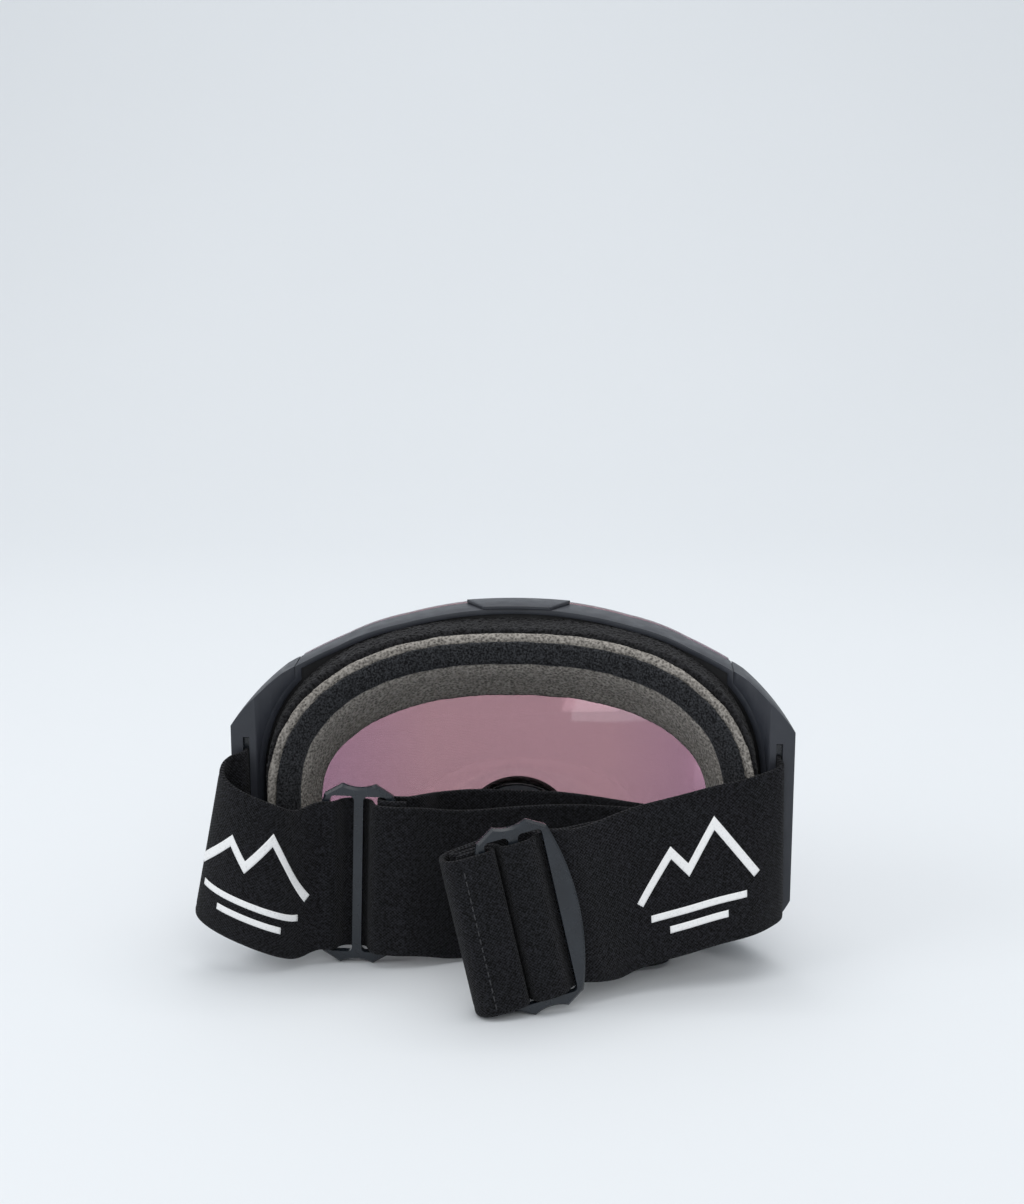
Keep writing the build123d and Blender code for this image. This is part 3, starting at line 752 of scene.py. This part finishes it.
def band_print(name, band, center, ends):
    """A plain mountain ridge over two level lines."""
    strokes = [
        ([(-19.0, -5.5), (-8.0, 8.0), (-2.5, 1.2), (6.0, 13.5), (19.5, -5.5)], 2.5),
        ([(-15.5, -10.8), (16.0, -10.8)], 2.2),
        ([(-9.5, -15.6), (10.0, -15.6)], 2.2),
    ]
    points, faces = [], []
    for path, width in strokes:
        more_points, more_faces = stroke(band, center, path, width)
        faces += [tuple(i + len(points) for i in face) for face in more_faces]
        points += more_points
    piece = make_piece(name, points, faces, white_print)
    solid = piece.modifiers.new("ink", "SOLIDIFY")
    solid.thickness = print_thickness * MM
    solid.offset = 0.0
    bend(piece, *ends)
    return piece


def stitch_row(name, band, s, ends, inset=2.0):
    """Thread that dips in and out of the band, across it at s."""
    pitch, stitch, radius, sides = 2.6, 1.8, 0.22, 6
    half = strap_width / 2 - inset
    points, faces = [], []
    v = -half
    while v + stitch < half:
        start = len(points)
        steps = 5
        for i in range(steps + 1):
            part = i / steps
            lift = strap_thickness / 2 - 0.12 + 0.26 * sin(pi * part)
            for k in range(sides):
                a = 2 * pi * k / sides
                points.append(band.at(s + radius * cos(a), v + stitch * part, lift + radius * 0.6 * sin(a)))
        for i in range(steps):
            for k in range(sides):
                m = (k + 1) % sides
                a, b = start + i * sides, start + (i + 1) * sides
                faces.append((a + k, a + m, b + m, b + k))
        faces.append(tuple(start + k for k in reversed(range(sides))))
        faces.append(tuple(start + steps * sides + k for k in range(sides)))
        v += pitch
    piece = make_piece(name, points, faces, thread)
    bend(piece, *ends)
    return piece


left_print_at = left_band.nearest((-80.0, -15.0, 33.0), 20)
right_print_at = right_band.nearest((58.0, -14.0, 36.0))
left_fold_edge = left_band.nearest(right_frame.at(-16.4, -2.5, -1.0), left_middle + 20)
right_fold_edge = right_band.nearest(left_frame.at(12.5, -2.5, 0.6), right_middle + 20)

trims = {
    "left_band_outer": [band_print("left_print", left_band, left_print_at, left_in)],
    "right_band_outer": [band_print("right_print", right_band, right_print_at, right_in)],
    "left_band_fold": [stitch_row("left_seam", left_band, left_fold_edge, right_back)],
    "right_band_inner": [stitch_row("right_seam", right_band, right_fold_edge, left_back)],
}

# ---------------------------------------------------------------- floor, light and camera


def backdrop():
    """A pale floor that curves up into a wall."""
    width, back, height, radius = 4.0, 1.6, 2.4, 0.9
    rows = [(-2.4, 0.0), (back - radius, 0.0)]
    bend_angles = np.linspace(0.1, pi / 2, 16)
    rows += [(back - radius + radius * sin(a), radius - radius * cos(a)) for a in bend_angles]
    rows.append((back, height))
    points = [(x, y, z) for y, z in rows for x in (-width / 2, width / 2)]
    faces = [(2 * i, 2 * i + 1, 2 * i + 3, 2 * i + 2) for i in range(len(rows) - 1)]
    finish = Finish("studio_paper", 0.75, Specular_IOR_Level=0.2)
    finish.color(finish.noise(400, 2), [(0.3, (0.735, 0.76, 0.785)), (0.7, (0.745, 0.77, 0.795))])
    piece = make_piece("studio_floor", points, faces, finish.material)


def area_light(name, place, aim, size, power, color=(1, 1, 1)):
    data = bpy.data.lights.new(name, "AREA")
    data.shape, data.size, data.size_y = "RECTANGLE", *size
    data.energy, data.color = power, color
    lamp = bpy.data.objects.new(name, data)
    lamp.location = place
    lamp.rotation_euler = (Vector(aim) - Vector(place)).to_track_quat("-Z", "Y").to_euler()
    bpy.context.scene.collection.objects.link(lamp)


def studio():
    backdrop()
    sky = bpy.data.worlds.new("studio")
    sky.use_nodes = True
    background = sky.node_tree.nodes["Background"]
    background.inputs["Color"].default_value = (0.93, 0.965, 1.0, 1)
    background.inputs["Strength"].default_value = 0.62
    bpy.context.scene.world = sky
    area_light("overhead", (0.1, 0.15, 1.3), (0, 0, 0.04), (1.3, 1.0), 7.5, (1.0, 0.99, 0.98))
    area_light("left_fill", (-1.1, -0.5, 0.8), (0, 0, 0.05), (0.8, 0.8), 3.5, (0.98, 0.99, 1.0))
    area_light("back_fill", (0.2, -1.3, 1.0), (0, 0, 0.05), (1.0, 0.6), 4.0, (1.0, 0.99, 0.97))
    area_light("wall_wash", (0, 0.9, 2.2), (0, 1.6, 0.9), (2.4, 0.3), 7.0)
    bpy.context.scene.view_settings.view_transform = "Standard"


def camera():
    """The lens looks down on the goggles from just right of their back."""
    data = bpy.data.cameras.new("camera")
    data.sensor_fit, data.sensor_width = "HORIZONTAL", 36
    data.lens = 66.57
    data.clip_start = 0.01
    eye = bpy.data.objects.new("camera", data)
    turn, down = 2.6, 12.67
    eye.location = world(26.06, -566.7, 245.3)
    eye.rotation_euler = (radians(90 - down), 0, radians(turn))
    bpy.context.scene.collection.objects.link(eye)
    bpy.context.scene.camera = eye


studio()
camera()
